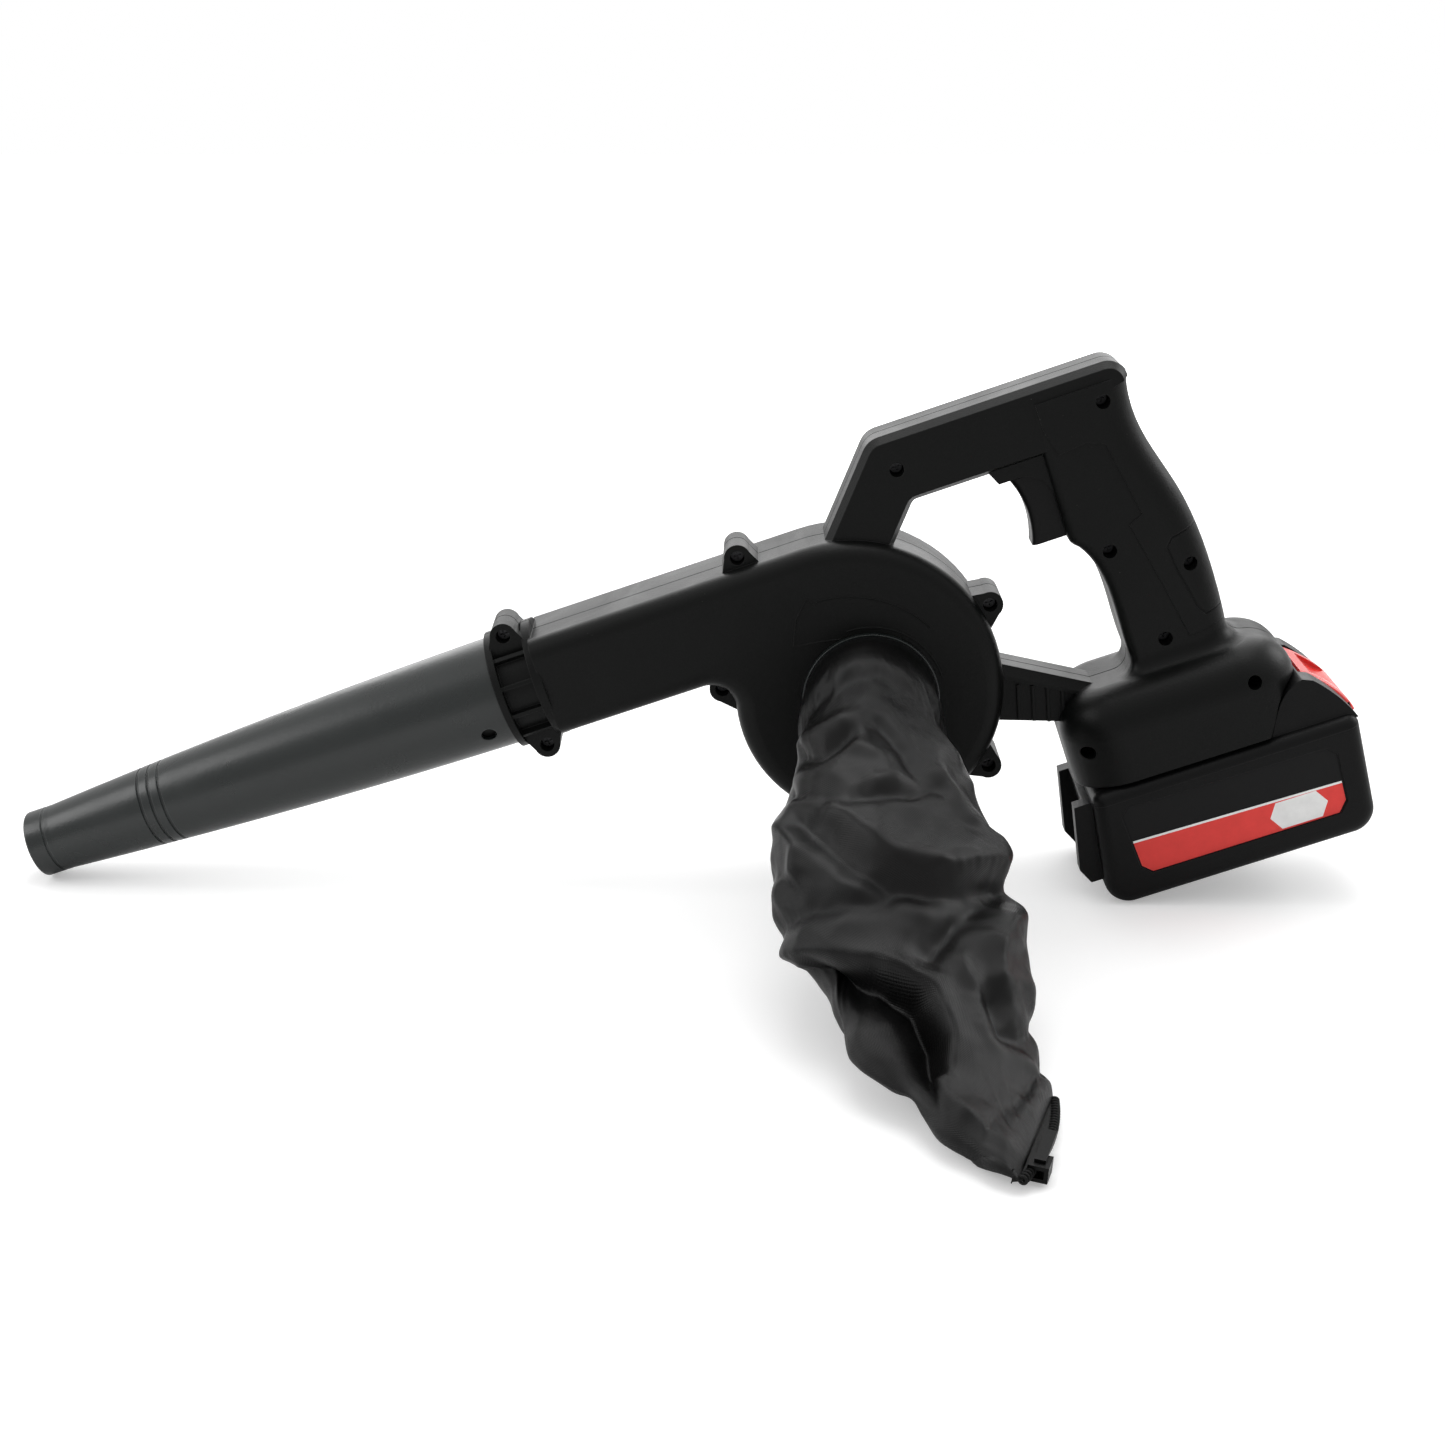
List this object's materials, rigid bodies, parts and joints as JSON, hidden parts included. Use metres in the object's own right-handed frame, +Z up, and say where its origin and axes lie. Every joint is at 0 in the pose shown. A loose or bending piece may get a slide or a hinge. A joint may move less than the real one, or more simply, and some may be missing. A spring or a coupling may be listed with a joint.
{
  "type": "leaf blower",
  "caption": "Handheld cordless leaf blower with side inlet dust bag, tapered round nozzle, trigger handle and slide-on battery, resting on nozzle rim and battery.",
  "frame": {"origin": "on the floor under the middle of the bounding box", "axes": "+X along the tool from nozzle to battery, +Z up from the floor, +Y away from the dust bag towards the motor dome"},
  "size_m": [0.5956, 0.3643, 0.2344],
  "materials": {
    "housing": "fine-grained moulded black plastic",
    "nozzle_plastic": "smooth satin black plastic",
    "screw_steel": "zinc-plated steel",
    "fan_plastic": "moulded black nylon",
    "motor_steel": "plated drawn and stacked steel",
    "magnet": "ferrite",
    "bearing_steel": "ground steel",
    "carbon": "graphite",
    "copper": "copper",
    "trigger_plastic": "satin black plastic",
    "switch_plastic": "plain black plastic",
    "bag_cloth": "woven black nylon",
    "zip_tape": "coil zip on woven tape",
    "zip_metal": "black lacquered zinc",
    "battery_plastic": "fine-grained moulded black plastic",
    "button_red": "glossy red plastic",
    "cell_sleeve": "steel cell in a shrink sleeve",
    "nickel": "nickel strip",
    "board_green": "solder mask",
    "brass_contact": "tinned brass"
  },
  "bodies": {
    "casing": {"housing_left": "housing", "housing_right": "housing", "housing_screws": "screw_steel", "motor_can": "motor_steel", "motor_screws": "screw_steel", "motor_magnets": "magnet", "motor_end_cap": "switch_plastic", "motor_bearings": "bearing_steel", "motor_brushes": "carbon", "switch_body": "switch_plastic", "terminal_block": "switch_plastic", "terminal_blades": "brass_contact"},
    "rotor": {"fan": "fan_plastic", "fan_nut": "screw_steel", "motor_shaft": "bearing_steel", "rotor_core": "motor_steel", "rotor_windings": "copper", "commutator": "copper"},
    "trigger": {"trigger": "trigger_plastic", "switch_plunger": "switch_plastic"},
    "nozzle": {"nozzle": "nozzle_plastic"},
    "bag": {"bag_ring": "nozzle_plastic", "dust_bag": "bag_cloth", "zipper": "zip_tape", "zip_slider": "zip_metal"},
    "battery": {"battery_tub": "battery_plastic", "battery_lid": "battery_plastic", "cells": "cell_sleeve", "cell_holders": "switch_plastic", "cell_strips": "nickel", "battery_board": "board_green", "battery_contacts": "brass_contact"},
    "release": {"release_button": "button_red"}
  },
  "joints": [
    {"name": "fan_spin", "type": "hinge", "parent": "casing", "child": "rotor", "pos_m": [0.07916, 0.10374, 0.09102], "axis": [0, -1, 0], "continuous": true},
    {"name": "trigger_pull", "type": "slide", "parent": "casing", "child": "trigger", "axis": [0.9453, 0, 0.3262], "range_m": [0, 0.007], "stiffness_N_per_m": 600, "springref_m": -0.008},
    {"name": "nozzle_pull", "type": "slide", "parent": "casing", "child": "nozzle", "axis": [-0.9453, 0, -0.3262], "range_m": [0, 0.03]},
    {"name": "bag_pull", "type": "slide", "parent": "casing", "child": "bag", "axis": [0, -1, 0], "range_m": [0, 0.018]},
    {"name": "battery_slide", "type": "slide", "parent": "casing", "child": "battery", "axis": [0.9453, 0, 0.3262], "range_m": [0, 0.1]},
    {"name": "release_press", "type": "slide", "parent": "battery", "child": "release", "axis": [0.3262, 0, -0.9453], "range_m": [0, 0.004], "stiffness_N_per_m": 900, "springref_m": -0.004}
  ]
}
